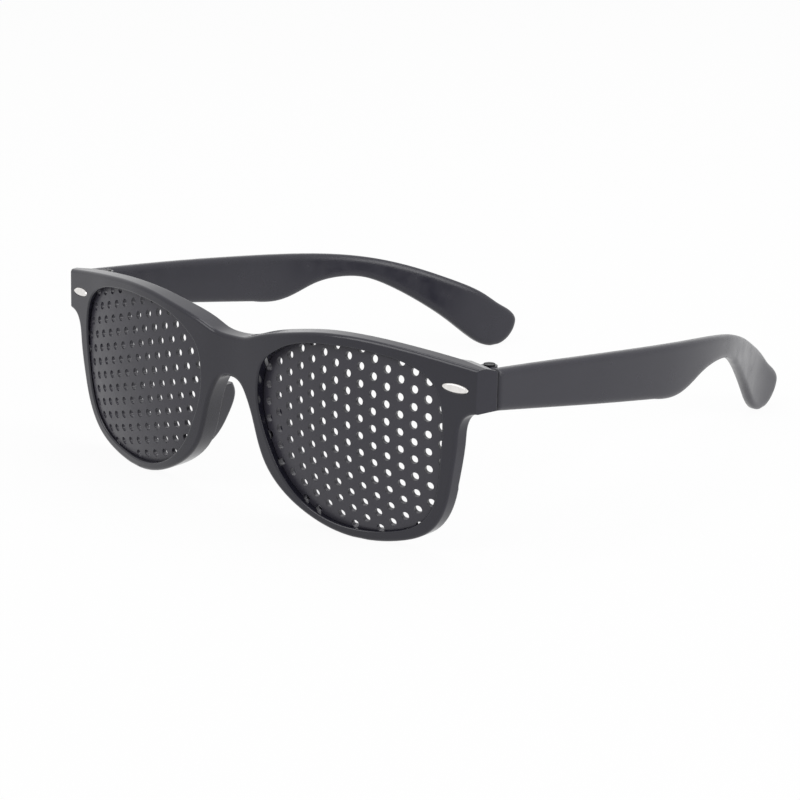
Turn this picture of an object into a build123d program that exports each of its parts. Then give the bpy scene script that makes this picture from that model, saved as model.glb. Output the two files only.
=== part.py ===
from build123d import *
import os
from math import asin, ceil, cos, hypot, radians, sin, sqrt

os.makedirs("parts", exist_ok=True)

# Millimetres. X runs to the wearer's left, Y from the front to the temple tips, Z up.
# The origin lies on the table, midway between the front and the tips.

# Openings and rims
lens_gap = 20.2
opening_width = 51.4
opening_height = 44.2
rim_bottom = 2.4
rim_top = 2.65
rim_nose = 3.4
rim_side = 3.6
end_reach = 4.9

# Front moulding, seen from above and from the side
front_wrap = 9.75
middle_share = 0.49
rim_depth = 3.7
nose_depth = 5.4
outer_round = 0.9
opening_round = 0.4
face_tilt = 0.7
lower_sweep = 1.5
upper_sweep = 0.8
foot_cut = 0.06
end_depth = 16.0
end_height = 9.75
end_low_share = 0.72
end_flare = 1.2
end_taper = 0.15
end_thickness = 6.6
pad_reach = 10.4
pad_width = 2.4
pad_inset = 0.45
pad_round = 0.8

# Pinhole plates
plate_radius = 110.0
plate_thickness = 1.2
plate_bite = 1.2
plate_fit = 0.08
nose_recess = 2.1
side_recess = 0.8
hole_diameter = 2.0
hole_pitch = 4.12
row_angle = 60.0
left_row_turn = 32.85
right_row_turn = 15.65
left_first_hole = (11.70, 10.50)
right_first_hole = (-1.55, 13.03)
hole_edge_web = 0.15

# Temples
temple_length = 152.6
temple_thickness = 3.0
temple_bend = 22.5
temple_round = 1.0
seam_gap = 0.4

# Hinges
knuckle_radius = 1.9
knuckle_gap = 0.15
knuckle_neck = 1.1
tongue_height = 3.2
tongue_play = 0.1
lug_inset = 0.35
screw_diameter = 1.4
screw_running_gap = 0.05
screw_head_diameter = 2.7
screw_head_height = 0.4
screw_slot_width = 0.4
screw_slot_depth = 0.2
screw_short_of_end = 0.3
screw_slot_turn = 35

# Silver studs beside the openings
stud_length = 6.8
stud_width = 2.1
stud_proud = 0.45
stud_seat_depth = 0.7
stud_gap = 0.08
stud_pin_diameter = 1.2
stud_pin_length = 1.8
stud_x = 64.7
stud_z = 41.2
stud_turn = -3.0
stud_bevel = 0.25

# How far a cutting shape runs past what it cuts
overrun = 3.0

# Sizes that follow from the ones above
opening_inner = lens_gap / 2
opening_rim_length = 3 * opening_width
opening_outer = opening_inner + opening_width
rim_inner = opening_inner - rim_nose
rim_outer = opening_outer + rim_side
rim_width = rim_outer - rim_inner
rim_high = rim_bottom + opening_height + rim_top
half_front = rim_outer + end_reach
end_low = rim_high * end_low_share
end_top = end_low + end_height
overall_depth = end_depth + seam_gap + temple_length
front_y = -overall_depth / 2
seam_y = front_y + end_depth
temple_start = seam_y + seam_gap
end_slope = end_flare / (end_depth - front_wrap)
temple_outer = half_front + end_slope * (end_depth + seam_gap - front_wrap)
temple_inner = temple_outer - temple_thickness
hinge_x = temple_inner - knuckle_gap - knuckle_radius
hinge_y = seam_y + knuckle_neck + knuckle_radius
middle_z = rim_high * middle_share

# Outline of an opening, in shares of its width and height from its lower nose corner
opening_shares = [
    (0.486, 1.000), (0.325, 0.986), (0.206, 0.955), (0.101, 0.894), (0.029, 0.819),
    (0.000, 0.715), (0.006, 0.543), (0.054, 0.389), (0.125, 0.240), (0.247, 0.102),
    (0.399, 0.020), (0.574, 0.000), (0.753, 0.032), (0.883, 0.104), (0.953, 0.217),
    (0.984, 0.371), (1.000, 0.579), (0.992, 0.765), (0.955, 0.869), (0.870, 0.941),
    (0.687, 0.989),
]

# Outer outline: the brow in shares of half the front's width, the bridge's arch in
# shares of the rim's nose edge, the rest in shares of the rim's width, heights in
# shares of the rim's height
brow_shares = [
    (0.000, 0.875), (0.073, 0.883), (0.124, 0.906), (0.197, 0.936), (0.290, 0.9645),
    (0.420, 0.993), (0.531, 1.000), (0.690, 0.989), (0.841, 0.9665), (1.030, 0.934),
]
arch_shares = [(0.000, 0.666), (0.478, 0.650), (0.836, 0.589)]
nose_shares = [
    (0.012, 0.508), (0.046, 0.378), (0.091, 0.262), (0.170, 0.162), (0.272, 0.086),
    (0.394, 0.0275),
]
foot_share = 0.566
cheek_shares = [
    (0.741, 0.028), (0.878, 0.106), (0.947, 0.229), (0.981, 0.392), (1.003, 0.579),
    (1.012, 0.658), (1.032, 0.699), (1.0685, 0.7215), (1.1200, 0.7230),
]

# The front's curve seen from above: shares of half its width and of its wrap
wrap_shares = [
    (0.000, 0.030), (0.100, 0.008), (0.207, 0.000), (0.310, 0.025), (0.414, 0.109),
    (0.520, 0.230), (0.620, 0.387), (0.725, 0.555), (0.827, 0.732), (0.930, 0.893),
    (1.000, 1.000), (1.060, 1.090),
]
# How much of the extra depth at the nose the moulding has, along half its width
nose_depth_shares = [0.45, 0.90, 1.00, 0.75, 0.40, 0.15, 0.03, 0.00, 0.00, 0.00, 0.00, 0.00]

# Nose pad: its nose side in shares of the rim's width and height, and its back edge in
# shares of the rim's height and of how far it stands out behind the rim
pad_side_shares = [
    (0.130, 0.210), (0.091, 0.262), (0.046, 0.378), (0.012, 0.508), (-0.004, 0.570),
]
pad_back_shares = [
    (0.180, 0.25), (0.270, 0.66), (0.400, 0.93), (0.510, 1.00), (0.590, 0.70), (0.620, 0.25),
]

# Temple, seen from the side: shares of its length and of its top's height at the hinge
temple_under_shares = [
    (0.397, 0.559), (0.435, 0.534), (0.461, 0.530), (0.498, 0.548), (0.549, 0.596),
    (0.606, 0.612), (0.663, 0.585), (0.720, 0.499), (0.786, 0.355), (0.841, 0.211),
    (0.888, 0.075), (0.917, 0.0155), (0.934, 0.000),
]
temple_back_shares = [
    (0.952, 0.000), (0.971, 0.018), (0.988, 0.060), (0.998, 0.111), (1.000, 0.162),
    (0.991, 0.207), (0.958, 0.282), (0.922, 0.368), (0.850, 0.497), (0.777, 0.603),
    (0.701, 0.690), (0.612, 0.758), (0.486, 0.820), (0.360, 0.871), (0.233, 0.920),
    (0.000, 1.000),
]
# Temple, seen from above: shares of its length, then of its bend low down and high up
temple_plan_shares = [
    (0.000, 0.000, 0.000), (0.106, -0.022, -0.022), (0.233, -0.049, -0.049),
    (0.347, -0.049, -0.049), (0.454, -0.022, -0.022), (0.561, 0.089, 0.053),
    (0.644, 0.240, 0.160), (0.727, 0.476, 0.302), (0.789, 0.644, 0.440),
    (0.853, 0.782, 0.613), (0.909, 0.884, 0.760), (0.966, 0.951, 0.871),
    (1.030, 1.004, 0.947),
]


def front_depth(x):
    """Depth of the front face behind its foremost line, at a distance x from the middle."""
    share = abs(x) / half_front
    for (x_a, d_a), (x_b, d_b) in zip(wrap_shares, wrap_shares[1:]):
        if share <= x_b:
            return front_wrap * (d_a + (d_b - d_a) * (share - x_a) / (x_b - x_a))
    return front_wrap * wrap_shares[-1][1]


def plate_centre():
    """Centre of the plate's outer sphere, which passes through both seats of an opening."""
    nose_point = Vector(opening_inner, front_y + front_depth(opening_inner) + nose_recess)
    side_point = Vector(opening_outer, front_y + front_depth(opening_outer) + side_recess)
    chord = side_point - nose_point
    rise = sqrt(plate_radius**2 - (chord.length / 2) ** 2)
    across = Vector(-chord.Y, chord.X).normalized()
    middle = (nose_point + side_point) / 2
    return Vector(middle.X + across.X * rise, middle.Y + across.Y * rise, middle_z)


def grown(points, margin):
    """Points of a closed curve, each moved square to the curve by a margin."""
    with BuildLine(mode=Mode.PRIVATE) as line:
        Spline(*points, periodic=True)
    curve = line.edge()
    moved = []
    for x, y in points:
        along = curve.tangent_at(curve.param_at_point(Vector(x, y)))
        moved.append((x + along.Y * margin, y - along.X * margin))
    return moved


def opening_face(grow):
    """The left opening's outline, larger all round by a margin, on the XZ plane."""
    points = [
        (opening_inner + u * opening_width, rim_bottom + v * opening_height)
        for u, v in opening_shares
    ]
    with BuildSketch(Plane.XZ) as outline:
        with BuildLine():
            Spline(*grown(points, grow), periodic=True)
        make_face()
    return outline.sketch


def mirrored(points):
    """Points from the middle outwards, with their mirror images in front of them."""
    return [(-x, y) for x, y in points[:0:-1]] + points


def front_outline():
    """The whole front's outer outline, on the XZ plane."""
    brow = mirrored([(u * half_front, v * rim_high) for u, v in brow_shares])
    under = [(u * rim_inner, v * rim_high) for u, v in arch_shares]
    under += [(rim_inner + u * rim_width, v * rim_high) for u, v in nose_shares]
    under += [(rim_inner + foot_share * rim_width, -foot_cut)]
    under += [(rim_inner + u * rim_width, v * rim_high) for u, v in cheek_shares]
    under = mirrored(under)
    with BuildSketch(Plane.XZ) as outline:
        with BuildLine():
            Spline(*brow)
            Line(brow[-1], under[-1])
            Spline(*under[::-1])
            Line(under[0], brow[0])
        make_face()
    return outline.sketch


def front_band(height, sweep):
    """The front with its end pieces seen from above, swept back, on a level plane."""
    inner = half_front - end_thickness
    face = [(u * half_front, front_y + sweep + v * front_wrap) for u, v in wrap_shares]
    back = [
        (x, y + rim_depth + (nose_depth - rim_depth) * share)
        for (x, y), share in zip(face, nose_depth_shares)
        if x < inner
    ]
    back.append((inner, front_y + sweep + front_depth(inner) + rim_depth))
    face, back = mirrored(face), mirrored(back)
    side = face[-1][0]
    with BuildSketch(Plane.XY.offset(height)) as band:
        with BuildLine():
            Spline(*face)
            Polyline(face[-1], (side, seam_y), (inner, seam_y), back[-1])
            Spline(*back[::-1])
            Polyline(back[0], (-inner, seam_y), (-side, seam_y), face[0])
        make_face()
    return band.sketch


def end_wedge():
    """What is cut off above the left end piece, so that it slopes down to the temple."""
    (x_a, v_a), (x_b, v_b) = brow_shares[-2:]
    fall = rim_high * (v_a - v_b) / (half_front * (x_b - x_a))
    brow_end = rim_high * v_b + fall * half_front * (x_b - 1) + end_taper
    start = front_y + front_depth(half_front - end_thickness) + rim_depth
    with BuildPart() as wedge:
        with BuildSketch(Plane.YZ.offset(half_front)):
            with BuildLine():
                Polyline((start, brow_end), (seam_y, end_top), (seam_y, brow_end), close=True)
            make_face()
        extrude(amount=end_thickness + seam_gap, dir=(1, 0, -fall), both=True)
    return wedge.part


def end_clearance():
    """What is cut off behind the rim, under the left end piece."""
    inner = half_front - end_thickness
    beyond = half_front + overrun
    with BuildPart() as clearance:
        with BuildSketch(Plane.XY):
            with BuildLine():
                Polyline(
                    (inner, front_y + front_depth(inner) + rim_depth),
                    (beyond, front_y + front_depth(beyond) + rim_depth),
                    (beyond, seam_y), (inner, seam_y), close=True,
                )
            make_face()
        extrude(amount=end_low)
    return clearance.part


def knuckle(low, high):
    """A hinge knuckle of the front: a barrel with a neck to the end piece."""
    reach = knuckle_neck + knuckle_radius + lug_inset
    with BuildPart() as lug:
        with BuildSketch(Plane.XY.offset(low)):
            with Locations((hinge_x, hinge_y)):
                Circle(knuckle_radius)
            with Locations((hinge_x, hinge_y - reach / 2)):
                Rectangle(2 * knuckle_radius, reach)
        extrude(amount=high - low)
    return lug.part


def nose_pad():
    """The left moulded nose pad: a rounded fin along the nose side of the rim."""
    near = [(rim_inner + u * rim_width + pad_inset, v * rim_high) for u, v in pad_side_shares]
    far = [(x + pad_width, z) for x, z in near]
    start = front_y + rim_depth / 2
    travel = pad_reach - rim_depth / 2
    curve = [(start + share * travel, v * rim_high) for v, share in pad_back_shares]
    with BuildPart() as pad:
        with BuildSketch(Plane.XZ.offset(-start)):
            with BuildLine():
                Spline(*near)
                Line(near[-1], far[-1])
                Spline(*far[::-1])
                Line(far[0], near[0])
            make_face()
        extrude(amount=-travel - overrun)
        with BuildSketch(Plane.YZ):
            with BuildLine():
                Spline(*curve)
                Polyline(curve[-1], (start - overrun, curve[-1][1]), (start - overrun, curve[0][1]),
                         curve[0])
            make_face()
        extrude(amount=half_front, mode=Mode.INTERSECT)
        rear = pad.edges().filter_by(lambda edge: edge.length > pad_width * 2)
        rear = rear.filter_by(lambda edge: edge.position_at(0.5).Y > start + rim_depth)
        fillet(rear, radius=pad_round)
    return pad.part


def end_planform():
    """The front seen from above: what lies between the two slanted end faces."""
    near = front_y - overrun
    x_near = half_front - end_slope * (front_wrap + overrun)
    x_far = half_front + end_slope * (end_depth - front_wrap)
    with BuildSketch(Plane.XY) as form:
        with BuildLine():
            Polyline((x_near, near), (x_far, seam_y), (-x_far, seam_y), (-x_near, near), close=True)
        make_face()
    return form.sketch


def stud_plane(lift):
    """Plane of the front face at the left stud, lifted off it by a distance."""
    slope = (front_depth(stud_x + stud_width) - front_depth(stud_x - stud_width)) / (2 * stud_width)
    share = (stud_z - middle_z) / (rim_high - middle_z)
    lean = 2 * upper_sweep * share / (rim_high - middle_z)
    normal = Vector(slope, -1, lean).normalized()
    origin = Vector(stud_x, front_y + front_depth(stud_x) + upper_sweep * share**2, stud_z)
    return Plane(origin=origin + normal * lift, x_dir=Vector(1, slope, 0), z_dir=normal)


def stud_oval(margin):
    """The stud's outline, a slender oval, larger all round by a margin."""
    with BuildSketch() as form:
        Ellipse(stud_length / 2 + margin, stud_width / 2 + margin)
    return form.sketch.rotate(Axis.Z, stud_turn)


def stud_solid():
    """The left stud: an oval with a bevelled face, and a pin that goes into the front."""
    with BuildPart() as stud:
        with BuildSketch(stud_plane(-stud_seat_depth)):
            add(stud_oval(0))
        extrude(amount=stud_seat_depth + stud_proud)
        outward = Axis(stud_plane(0).origin, stud_plane(0).z_dir)
        chamfer(stud.faces().sort_by(outward)[-1].edges(), length=stud_bevel)
        with BuildSketch(stud_plane(-stud_seat_depth)):
            Circle(stud_pin_diameter / 2)
        extrude(amount=-stud_pin_length)
    return stud.part


def spherical_wall(margin):
    """The left plate's spherical wall, thicker on both sides by a margin."""
    with BuildPart() as wall:
        with Locations(plate_centre()):
            Sphere(plate_radius + margin)
            Sphere(plate_radius - plate_thickness - margin, mode=Mode.SUBTRACT)
    return wall.part


def hole_places(side, turn, first):
    """Places of a plate's holes: a staggered pattern laid on the sphere, clear of the edge."""
    centre = plate_centre()
    centre = Vector(side * centre.X, centre.Y, centre.Z)
    middle = side * (opening_inner + opening_outer) / 2
    outline = opening_face(0).face()
    rim = outline.outer_wire()
    lon_middle = asin((middle - centre.X) / plate_radius)
    steps = ceil(opening_width / hole_pitch)
    places = []
    for i in range(-steps, steps + 1):
        for j in range(-steps, steps + 1):
            u = first[0] + hole_pitch * (i * cos(radians(turn)) + j * cos(radians(turn + row_angle)))
            v = first[1] + hole_pitch * (i * sin(radians(turn)) + j * sin(radians(turn + row_angle)))
            if hypot(u, v) > opening_width:
                continue
            lat = v / plate_radius
            lon = lon_middle + u / (plate_radius * cos(lat))
            outward = Vector(sin(lon) * cos(lat), -cos(lon) * cos(lat), sin(lat))
            point = centre + outward * plate_radius
            flat = Vector(side * point.X, 0, point.Z)
            gap = rim.distance_to(flat)
            gap = gap if outline.is_inside(flat) else -gap
            beyond = plate_bite - hole_diameter / 2
            thin_web = abs(gap + beyond) < hole_edge_web
            if gap > -hole_diameter / 2 and not thin_web:
                places.append(Plane(origin=point, z_dir=outward).location)
    return places


def pinhole_plate(side, turn, first):
    """One perforated plate: a piece of a spherical wall with its holes square to it."""
    with BuildPart() as plate:
        extrude(opening_face(plate_bite), amount=overall_depth / 2, both=True)
        add(spherical_wall(0), mode=Mode.INTERSECT)
    body = plate.part if side > 0 else mirror(plate.part, about=Plane.YZ, mode=Mode.PRIVATE)
    places = hole_places(side, turn, first)
    with BuildPart() as holed:
        add(body)
        with Locations(*places):
            Cylinder(hole_diameter / 2, 2 * overrun, mode=Mode.SUBTRACT)
    return holed.part


def temple_plan(height, column):
    """A temple seen from above on a level plane, from one column of the plan's shares."""
    outer = [(temple_outer - row[column] * temple_bend, temple_start + row[0] * temple_length)
             for row in temple_plan_shares]
    inner = [(x - temple_thickness, y) for x, y in outer]
    with BuildSketch(Plane.XY.offset(height)) as plan:
        with BuildLine():
            Spline(*outer)
            Line(outer[-1], inner[-1])
            Spline(*inner[::-1])
            Line(inner[0], outer[0])
        make_face()
    return plan.sketch


def temple_solid():
    """The left temple with its hinge tongue."""
    under = [(temple_start + t * temple_length, v * end_top) for t, v in temple_under_shares]
    back = [(temple_start + t * temple_length, v * end_top) for t, v in temple_back_shares]
    with BuildPart() as temple:
        loft([temple_plan(-overrun, 1).face(), temple_plan(end_top + overrun, 2).face()], ruled=True)
        with BuildSketch(Plane.YZ):
            with BuildLine():
                Polyline(back[-1], (temple_start, end_low), under[0])
                Spline(*under)
                Line(under[-1], back[0])
                Spline(*back)
            make_face()
        extrude(amount=half_front + overrun * 2, mode=Mode.INTERSECT)
        long_edges = temple.edges().filter_by(lambda edge: edge.length > end_height * 2)
        fillet(long_edges, radius=temple_round)
        with BuildSketch(Plane.XY.offset(tongue_low)):
            with Locations((hinge_x, hinge_y)):
                Circle(knuckle_radius)
            with Locations(((hinge_x + temple_inner + temple_round) / 2, hinge_y)):
                Rectangle(temple_inner + temple_round - hinge_x, 2 * knuckle_radius)
        extrude(amount=tongue_height)
        with BuildSketch(Plane.XY):
            with Locations((hinge_x, hinge_y)):
                Circle(screw_diameter / 2 + screw_running_gap)
        extrude(amount=rim_high, mode=Mode.SUBTRACT)
    return temple.part


def screw_solid():
    """The left hinge screw: a slotted head on the upper knuckle and a plain shaft."""
    with BuildPart() as screw:
        with BuildSketch(Plane.XY.offset(lug_low + screw_short_of_end)):
            with Locations((hinge_x, hinge_y)):
                Circle(screw_diameter / 2)
        extrude(amount=lug_high - lug_low - screw_short_of_end)
        with BuildSketch(Plane.XY.offset(lug_high)):
            with Locations((hinge_x, hinge_y)):
                Circle(screw_head_diameter / 2)
        extrude(amount=screw_head_height)
        with BuildSketch(Plane.XY.offset(lug_high + screw_head_height - screw_slot_depth)):
            with Locations(Location((hinge_x, hinge_y), screw_slot_turn)):
                Rectangle(2 * screw_head_diameter, screw_slot_width)
        extrude(amount=screw_head_height, mode=Mode.SUBTRACT)
    return screw.part


lug_low = end_low + lug_inset
lug_high = end_top - lug_inset
tongue_low = (lug_low + lug_high - tongue_height) / 2
tongue_high = tongue_low + tongue_height

def forward_edges(shell):
    """The long edges of the front's face: the outer ones and those of the openings."""
    faces = shell.faces().filter_by(lambda face: face.normal_at().Y < -face_tilt)
    return faces.sort_by(SortBy.AREA)[-1].edges().filter_by(lambda edge: edge.length > end_height * 2)


# Seat of the left plate: its outline and wall with the fit added all round
with BuildPart() as left_seat:
    extrude(opening_face(plate_bite + plate_fit), amount=overall_depth / 2, both=True)
    add(spherical_wall(plate_fit), mode=Mode.INTERSECT)

with BuildPart() as left_stud_seat:
    with BuildSketch(stud_plane(-stud_seat_depth)):
        add(stud_oval(stud_gap))
    extrude(amount=stud_seat_depth + overrun)
    with BuildSketch(stud_plane(-stud_seat_depth)):
        Circle(stud_pin_diameter / 2 + stud_gap)
    extrude(amount=-stud_pin_length - stud_gap)

with BuildPart() as front_frame:
    loft([
        front_band(-overrun, lower_sweep).face(),
        front_band(middle_z, 0).face(),
        front_band(rim_high + overrun, upper_sweep).face(),
    ])
    extrude(front_outline(), amount=overall_depth, both=True, mode=Mode.INTERSECT)
    extrude(end_planform(), amount=rim_high + overrun, mode=Mode.INTERSECT)
    for cutter in (end_wedge(), end_clearance()):
        add(cutter, mode=Mode.SUBTRACT)
        mirror(cutter, about=Plane.YZ, mode=Mode.SUBTRACT)
    left_pad = nose_pad()
    add(left_pad)
    mirror(left_pad, about=Plane.YZ)
    left_opening = opening_face(0)
    extrude(left_opening, amount=overall_depth, both=True, mode=Mode.SUBTRACT)
    extrude(mirror(left_opening, about=Plane.YZ, mode=Mode.PRIVATE),
            amount=overall_depth, both=True, mode=Mode.SUBTRACT)
    add(left_seat.part, mode=Mode.SUBTRACT)
    mirror(left_seat.part, about=Plane.YZ, mode=Mode.SUBTRACT)
    rims = forward_edges(front_frame.part)
    fillet(rims.filter_by(lambda edge: edge.length < opening_rim_length), radius=outer_round)
    rims = forward_edges(front_frame.part)
    fillet(rims.filter_by(lambda edge: edge.length > opening_rim_length), radius=opening_round)
    for lug in (knuckle(lug_low, tongue_low - tongue_play),
                knuckle(tongue_high + tongue_play, lug_high)):
        add(lug)
        mirror(lug, about=Plane.YZ)
    with BuildSketch(Plane.XY.offset(lug_low - overrun)):
        with Locations((hinge_x, hinge_y), (-hinge_x, hinge_y)):
            Circle(screw_diameter / 2 + screw_running_gap)
    extrude(amount=end_height + overrun, mode=Mode.SUBTRACT)
    add(left_stud_seat.part, mode=Mode.SUBTRACT)
    mirror(left_stud_seat.part, about=Plane.YZ, mode=Mode.SUBTRACT)

nodes = {"front_frame": front_frame.part}
nodes["left_temple"] = temple_solid()
nodes["left_stud"] = stud_solid()
nodes["left_hinge_screw"] = screw_solid()
for name in ("temple", "stud", "hinge_screw"):
    nodes["right_" + name] = mirror(nodes["left_" + name], about=Plane.YZ, mode=Mode.PRIVATE)
nodes["left_pinhole_plate"] = pinhole_plate(1, left_row_turn, left_first_hole)
nodes["right_pinhole_plate"] = pinhole_plate(-1, right_row_turn, right_first_hole)

for name, solid in nodes.items():
    solid.label = name
    export_step(solid, f"parts/{name}.step")
    print(name, "solids", len(solid.solids()), "volume", round(solid.volume, 1))
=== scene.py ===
"""Studio scene of the pinhole glasses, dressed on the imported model."""

import logging
from dataclasses import dataclass
from enum import Enum
from math import cos, radians, sin
from typing import Iterable

import bpy
from mathutils import Matrix, Vector

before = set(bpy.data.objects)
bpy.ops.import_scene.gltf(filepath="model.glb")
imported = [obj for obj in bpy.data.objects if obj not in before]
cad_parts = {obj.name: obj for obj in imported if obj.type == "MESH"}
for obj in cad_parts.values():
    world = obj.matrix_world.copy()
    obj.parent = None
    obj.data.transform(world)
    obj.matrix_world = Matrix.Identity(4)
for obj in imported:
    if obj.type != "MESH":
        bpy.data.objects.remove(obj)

log = logging.getLogger("pinhole_glasses")

Colour = tuple[float, float, float]
Place = tuple[float, float, float]

# What all the lamps point at, in metres
MODEL_MIDDLE: Place = (0.0, 0.0, 0.02)

# The part of a noise pattern's values that is spread over a range
NOISE_LOW, NOISE_HIGH = 0.3, 0.7

# Finer layers of a noise pattern
PLAIN_DETAIL, FLOW_DETAIL, BLOTCH_DETAIL = 2.0, 3.0, 4.0

# Rays that feel for a corner, for each place that is shaded
CORNER_SAMPLES = 8


class Grain(Enum):
    """How fine the moulded surface of a plastic piece is, as cells to the metre."""

    POLISHED = 900.0
    SATIN = 2600.0


class Ray(Enum):
    """The kinds of light path that see the white studio instead of the lit floor."""

    CAMERA = "Is Camera Ray"
    GLOSSY = "Is Glossy Ray"
    TRANSMISSION = "Is Transmission Ray"


@dataclass(frozen=True)
class NodeBuilder:
    """A small helper that adds shader nodes to one material or world.

    Args:
        tree: The node tree that is filled.
    """

    tree: bpy.types.NodeTree

    def add(self, kind: str, **values: object) -> bpy.types.Node:
        """Adds a node and sets its own settings.

        Args:
            kind: The node's type name.
            values: Settings of the node, by their attribute names.

        Returns:
            The new node.
        """
        node = self.tree.nodes.new(kind)
        for name, value in values.items():
            setattr(node, name, value)
        return node

    def join(self, source: bpy.types.NodeSocket, target: bpy.types.NodeSocket) -> None:
        """Links one socket to another.

        Args:
            source: The socket that gives a value.
            target: The socket that takes it.
        """
        self.tree.links.new(source, target)

    def noise(self, scale: float, detail: float, coords: bpy.types.NodeSocket) -> bpy.types.NodeSocket:
        """Adds a noise pattern.

        Args:
            scale: Cells to the metre.
            detail: How many finer layers are added.
            coords: The coordinates that it reads.

        Returns:
            The pattern's value, from 0 to 1.
        """
        noise = self.add("ShaderNodeTexNoise")
        noise.inputs["Scale"].default_value = scale
        noise.inputs["Detail"].default_value = detail
        self.join(coords, noise.inputs["Vector"])
        return noise.outputs["Fac"]

    def ranged(self, value: bpy.types.NodeSocket, low: float, high: float) -> bpy.types.NodeSocket:
        """Spreads a pattern's middle part over a range.

        Args:
            value: A pattern from 0 to 1.
            low: What a low value becomes.
            high: What a high value becomes.

        Returns:
            The spread value.
        """
        spread = self.add("ShaderNodeMapRange")
        spread.inputs["From Min"].default_value = NOISE_LOW
        spread.inputs["From Max"].default_value = NOISE_HIGH
        spread.inputs["To Min"].default_value = low
        spread.inputs["To Max"].default_value = high
        self.join(value, spread.inputs["Value"])
        return spread.outputs["Result"]

    def studio_rays(self) -> bpy.types.NodeSocket:
        """Adds the test for the rays that see the white studio.

        Returns:
            1 for such a ray and 0 for the others.
        """
        path = self.add("ShaderNodeLightPath")
        seen = path.outputs[Ray.CAMERA.value]
        for ray in (Ray.GLOSSY, Ray.TRANSMISSION):
            either = self.add("ShaderNodeMath", operation="MAXIMUM")
            self.join(seen, either.inputs[0])
            self.join(path.outputs[ray.value], either.inputs[1])
            seen = either.outputs["Value"]
        return seen


@dataclass(frozen=True)
class MouldedPlastic:
    """Charcoal plastic from a polished mould, with soft corners and faint handling marks.

    Args:
        name: The finish's name.
        deep: Colour of the plastic.
        worn: Colour where it is rubbed a little lighter.
        gloss_low: Roughness of the shiniest places.
        gloss_high: Roughness of the dullest places.
        grain: How fine the surface's texture is.
        relief: Height of the texture, in metres.
        relief_strength: How much of that height shows.
        shine: How strongly it mirrors, where 0.5 is a common plastic.
        corner: Radius of the soft corners, in metres.
        flow_cells: Cells to the metre of the changes in colour.
        blotch_cells: Cells to the metre of the changes in gloss.
    """

    name: str
    deep: Colour
    worn: Colour
    gloss_low: float
    gloss_high: float
    grain: Grain
    relief: float = 0.000004
    relief_strength: float = 0.6
    shine: float = 0.5
    corner: float = 0.00035
    flow_cells: float = 38.0
    blotch_cells: float = 210.0

    def material(self) -> bpy.types.Material:
        """Makes the plastic's material.

        Returns:
            The material.
        """
        made = bpy.data.materials.new(self.name)
        made.use_nodes = True
        build = NodeBuilder(made.node_tree)
        shader = made.node_tree.nodes["Principled BSDF"]
        coords = build.add("ShaderNodeTexCoord").outputs["Object"]

        flow = build.noise(self.flow_cells, FLOW_DETAIL, coords)
        blotch = build.noise(self.blotch_cells, BLOTCH_DETAIL, coords)
        tint = build.add("ShaderNodeMix", data_type="RGBA")
        build.join(build.ranged(flow, 0.0, 1.0), tint.inputs["Factor"])
        tint.inputs["A"].default_value = (*self.deep, 1.0)
        tint.inputs["B"].default_value = (*self.worn, 1.0)
        build.join(tint.outputs["Result"], shader.inputs["Base Color"])
        build.join(build.ranged(blotch, self.gloss_low, self.gloss_high), shader.inputs["Roughness"])

        soft = build.add("ShaderNodeBevel", samples=CORNER_SAMPLES)
        soft.inputs["Radius"].default_value = self.corner
        bump = build.add("ShaderNodeBump")
        bump.inputs["Strength"].default_value = self.relief_strength
        bump.inputs["Distance"].default_value = self.relief
        build.join(build.noise(self.grain.value, PLAIN_DETAIL, coords), bump.inputs["Height"])
        build.join(soft.outputs["Normal"], bump.inputs["Normal"])
        build.join(bump.outputs["Normal"], shader.inputs["Normal"])
        shader.inputs["Specular IOR Level"].default_value = self.shine
        return made


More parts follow.
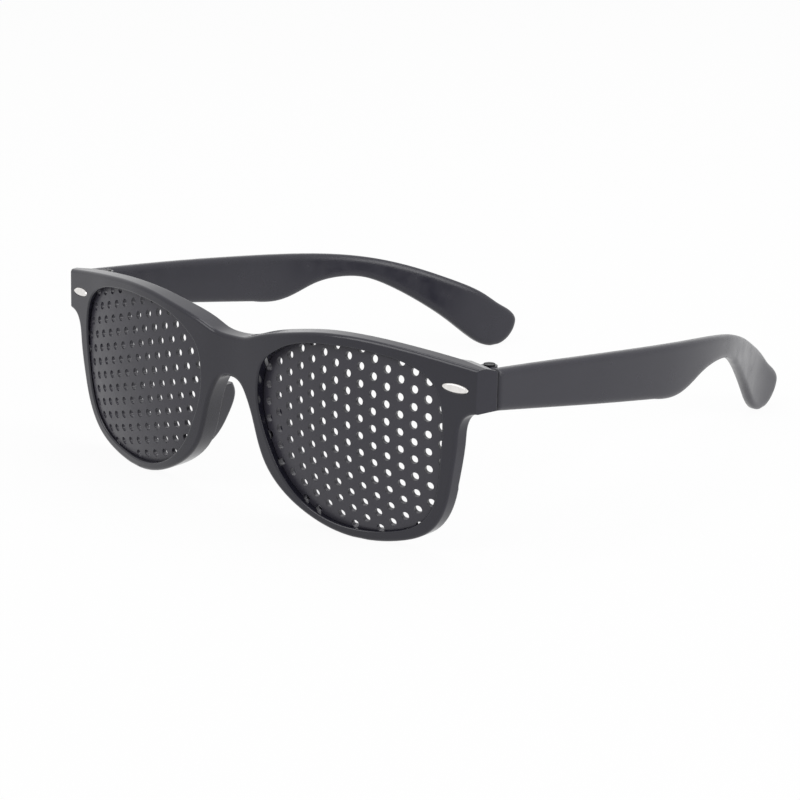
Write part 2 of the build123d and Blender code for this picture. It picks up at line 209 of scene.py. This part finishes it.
@dataclass(frozen=True)
class BrightMetal:
    """Stamped metal of the studs or blackened steel of the screws.

    Args:
        name: The finish's name.
        colour: Colour of the metal.
        gloss: Roughness.
        ridge: Height of the drawn lines along it, in metres.
        ridge_strength: How much of that height shows.
        corner: Radius of the soft corners, in metres.
        dulled: Share of the colour that the dullest places keep.
        gloss_shares: Roughness of the shiniest and the dullest places, as shares of gloss.
        shade_cells: Cells to the metre of the changes in colour.
        gloss_cells: Cells to the metre of the changes in gloss.
        line_cells: Cells to the metre of the drawn lines.
        line_stretch: How the cells of the lines are stretched along each axis.
    """

    name: str
    colour: Colour
    gloss: float
    ridge: float
    ridge_strength: float = 0.5
    corner: float = 0.00012
    dulled: float = 0.88
    gloss_shares: tuple[float, float] = (0.8, 1.3)
    shade_cells: float = 900.0
    gloss_cells: float = 1500.0
    line_cells: float = 6000.0
    line_stretch: tuple[float, float, float] = (0.15, 0.15, 1.0)

    def material(self) -> bpy.types.Material:
        """Makes the metal's material.

        Returns:
            The material.
        """
        made = bpy.data.materials.new(self.name)
        made.use_nodes = True
        build = NodeBuilder(made.node_tree)
        shader = made.node_tree.nodes["Principled BSDF"]
        shader.inputs["Metallic"].default_value = 1.0
        coords = build.add("ShaderNodeTexCoord").outputs["Object"]
        shade = build.add("ShaderNodeMix", data_type="RGBA")
        clouds = build.noise(self.shade_cells, FLOW_DETAIL, coords)
        build.join(build.ranged(clouds, 0.0, 1.0), shade.inputs["Factor"])
        shade.inputs["A"].default_value = (*self.colour, 1.0)
        shade.inputs["B"].default_value = (*(self.dulled * value for value in self.colour), 1.0)
        build.join(shade.outputs["Result"], shader.inputs["Base Color"])
        spots = build.noise(self.gloss_cells, PLAIN_DETAIL, coords)
        low, high = (self.gloss * share for share in self.gloss_shares)
        build.join(build.ranged(spots, low, high), shader.inputs["Roughness"])

        stretch = build.add("ShaderNodeMapping")
        stretch.inputs["Scale"].default_value = self.line_stretch
        build.join(coords, stretch.inputs["Vector"])
        soft = build.add("ShaderNodeBevel", samples=CORNER_SAMPLES)
        soft.inputs["Radius"].default_value = self.corner
        bump = build.add("ShaderNodeBump")
        bump.inputs["Strength"].default_value = self.ridge_strength
        bump.inputs["Distance"].default_value = self.ridge
        lines = build.noise(self.line_cells, PLAIN_DETAIL, stretch.outputs["Vector"])
        build.join(lines, bump.inputs["Height"])
        build.join(soft.outputs["Normal"], bump.inputs["Normal"])
        build.join(bump.outputs["Normal"], shader.inputs["Normal"])
        return made


@dataclass
class Front:
    """The moulded front with its two perforated plates.

    Args:
        shell: Name of the moulding.
        plates: Names of the plates.
        shell_finish: Finish of the moulding.
        plate_finish: Finish of the plates.
    """

    shell: str = "front_frame"
    plates: tuple[str, str] = ("left_pinhole_plate", "right_pinhole_plate")
    shell_finish: MouldedPlastic = MouldedPlastic(
        "charcoal_front", (0.0085, 0.0080, 0.0170), (0.0120, 0.0114, 0.0210), 0.12, 0.20,
        Grain.POLISHED)
    plate_finish: MouldedPlastic = MouldedPlastic(
        "charcoal_plate", (0.0275, 0.0260, 0.0360), (0.0345, 0.0325, 0.0440), 0.30, 0.42,
        Grain.SATIN, corner=0.00012)

    def dress(self) -> Iterable[str]:
        """Gives the front's pieces their finish.

        Returns:
            The names of the dressed pieces.
        """
        put_finish([self.shell], self.shell_finish.material())
        put_finish(self.plates, self.plate_finish.material())
        return (self.shell, *self.plates)


@dataclass
class Temples:
    """The two folding temples with their hinge tongues.

    Args:
        arms: Names of the temples.
        finish: Their finish.
    """

    arms: tuple[str, str] = ("left_temple", "right_temple")
    finish: MouldedPlastic = MouldedPlastic(
        "charcoal_temple", (0.0115, 0.0110, 0.0200), (0.0160, 0.0152, 0.0250), 0.18, 0.28,
        Grain.POLISHED, corner=0.0022)

    def dress(self) -> Iterable[str]:
        """Gives the temples their finish.

        Returns:
            The names of the dressed pieces.
        """
        put_finish(self.arms, self.finish.material())
        return self.arms


@dataclass
class Fittings:
    """The silver studs on the front and the dark screws of the hinges.

    Args:
        studs: Names of the studs.
        screws: Names of the screws.
        silver: Finish of the studs.
        black: Finish of the screws.
    """

    studs: tuple[str, str] = ("left_stud", "right_stud")
    screws: tuple[str, str] = ("left_hinge_screw", "right_hinge_screw")
    silver: BrightMetal = BrightMetal("stud_silver", (0.83, 0.81, 0.79), 0.16, 0.00001)
    black: BrightMetal = BrightMetal("screw_black", (0.045, 0.045, 0.048), 0.34, 0.000008)

    def dress(self) -> Iterable[str]:
        """Gives the studs and the screws their finish.

        Returns:
            The names of the dressed pieces.
        """
        put_finish(self.studs, self.silver.material())
        put_finish(self.screws, self.black.material())
        return (*self.studs, *self.screws)


@dataclass(frozen=True)
class Softbox:
    """A soft lamp of the studio, which points at the middle of the model.

    Args:
        name: The lamp's name.
        place: Where it hangs, in metres.
        width: Its width, in metres.
        height: Its height, in metres.
        power: Its power, in watts.
    """

    name: str
    place: Place
    width: float
    height: float
    power: float

    def hang(self) -> None:
        """Adds the lamp to the scene."""
        lamp = bpy.data.lights.new(self.name, "AREA")
        lamp.shape = "RECTANGLE"
        lamp.size, lamp.size_y = self.width, self.height
        lamp.energy = self.power
        holder = bpy.data.objects.new(self.name, lamp)
        bpy.context.scene.collection.objects.link(holder)
        way = Vector(MODEL_MIDDLE) - Vector(self.place)
        turned = way.to_track_quat("-Z", "Y").to_matrix().to_4x4()
        holder.matrix_world = Matrix.Translation(self.place) @ turned


@dataclass(frozen=True)
class Studio:
    """The pale floor, the lamps, the white surroundings and the camera.

    Args:
        floor_side: Side of the square floor, in metres.
        floor_parts: Squares along each side of the floor.
        floor_colour: Colour of the floor under the lamps.
        floor_glow: Share of plain white in the floor that the camera sees.
        surround: Strength of the light from all round.
        lamps: The soft lamps.
        camera_place: Where the camera stands, in metres.
        camera_turn: Its turn round the model, in degrees.
        camera_drop: Its angle above the table, in degrees.
        camera_roll: Its roll, in degrees.
        camera_lens: Length of its lens, in millimetres.
        camera_sensor: Width of its sensor, in millimetres.
        camera_near: Distance of the nearest thing that it sees, in metres.
    """

    floor_side: float = 6.0
    floor_parts: int = 4
    floor_colour: Colour = (0.86, 0.86, 0.86)
    floor_glow: float = 0.95
    surround: float = 0.35
    lamps: tuple[Softbox, ...] = (
        Softbox("key_softbox", (-0.20, -0.90, 0.95), 0.8, 0.8, 5.0),
        Softbox("side_softbox", (1.15, 0.25, 0.55), 0.8, 0.8, 8.0),
        Softbox("top_softbox", (0.0, 0.45, 1.30), 1.1, 0.9, 7.0),
    )
    camera_place: Place = (0.37374, -0.43931, 0.18210)
    camera_turn: float = 41.841
    camera_drop: float = 16.765
    camera_roll: float = 0.5225
    camera_lens: float = 99.42
    camera_sensor: float = 36.0
    camera_near: float = 0.02

    def lay_floor(self) -> None:
        """Adds the floor, which looks white to the camera and keeps the soft shadow."""
        bpy.ops.mesh.primitive_grid_add(
            x_subdivisions=self.floor_parts, y_subdivisions=self.floor_parts, size=self.floor_side)
        floor = bpy.context.object
        floor.name = "studio_floor"
        made = bpy.data.materials.new("floor_white")
        made.use_nodes = True
        shader = made.node_tree.nodes["Principled BSDF"]
        shader.inputs["Base Color"].default_value = (*self.floor_colour, 1.0)
        shader.inputs["Roughness"].default_value = 1.0
        shader.inputs["Specular IOR Level"].default_value = 0.0
        build = NodeBuilder(made.node_tree)
        white = build.add("ShaderNodeEmission")
        share = build.add("ShaderNodeMath", operation="MULTIPLY")
        build.join(build.studio_rays(), share.inputs[0])
        share.inputs[1].default_value = self.floor_glow
        both = build.add("ShaderNodeMixShader")
        build.join(share.outputs["Value"], both.inputs["Fac"])
        build.join(shader.outputs["BSDF"], both.inputs[1])
        build.join(white.outputs["Emission"], both.inputs[2])
        build.join(both.outputs["Shader"], made.node_tree.nodes["Material Output"].inputs["Surface"])
        floor.data.materials.append(made)

    def light(self) -> None:
        """Hangs the lamps and sets the white surroundings."""
        for lamp in self.lamps:
            lamp.hang()
        world = bpy.data.worlds.new("studio_white")
        world.use_nodes = True
        bpy.context.scene.world = world
        build = NodeBuilder(world.node_tree)
        backdrop = world.node_tree.nodes["Background"]
        strength = build.add("ShaderNodeMapRange")
        strength.inputs["To Min"].default_value = self.surround
        strength.inputs["To Max"].default_value = 1.0
        build.join(build.studio_rays(), strength.inputs["Value"])
        build.join(strength.outputs["Result"], backdrop.inputs["Strength"])
        backdrop.inputs["Color"].default_value = (1.0, 1.0, 1.0, 1.0)

    def aim_camera(self) -> None:
        """Adds the camera at the photograph's viewing angle."""
        angles = (self.camera_turn, self.camera_drop, self.camera_roll)
        turn, drop, roll = (radians(angle) for angle in angles)
        back = Vector((sin(turn) * cos(drop), -cos(turn) * cos(drop), sin(drop)))
        level = Vector((cos(turn), sin(turn), 0.0))
        upright = back.cross(level)
        right = level * cos(roll) + upright * sin(roll)
        up = upright * cos(roll) - level * sin(roll)
        lens = bpy.data.cameras.new("view")
        lens.sensor_width = self.camera_sensor
        lens.lens = self.camera_lens
        lens.clip_start = self.camera_near
        camera = bpy.data.objects.new("view", lens)
        bpy.context.scene.collection.objects.link(camera)
        turned = Matrix((right, up, back)).transposed().to_4x4()
        camera.matrix_world = Matrix.Translation(self.camera_place) @ turned
        bpy.context.scene.camera = camera

    def prepare(self) -> None:
        """Sets up the whole studio."""
        bpy.context.scene.view_settings.view_transform = "Standard"
        self.aim_camera()
        self.lay_floor()
        self.light()


def put_finish(names: Iterable[str], made: bpy.types.Material) -> None:
    """Gives pieces of the model a finish in place of their plain one.

    Args:
        names: The pieces' names in the model.
        made: The finish.
    """
    for name in names:
        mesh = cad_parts[name].data
        mesh.materials.clear()
        mesh.materials.append(made)


def main() -> None:
    """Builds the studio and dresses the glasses."""
    logging.basicConfig(level=logging.INFO)
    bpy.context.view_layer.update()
    Studio().prepare()
    for group in (Front(), Temples(), Fittings()):
        for name in group.dress():
            log.info("dressed %s", name)


if __name__ == "__main__":
    main()
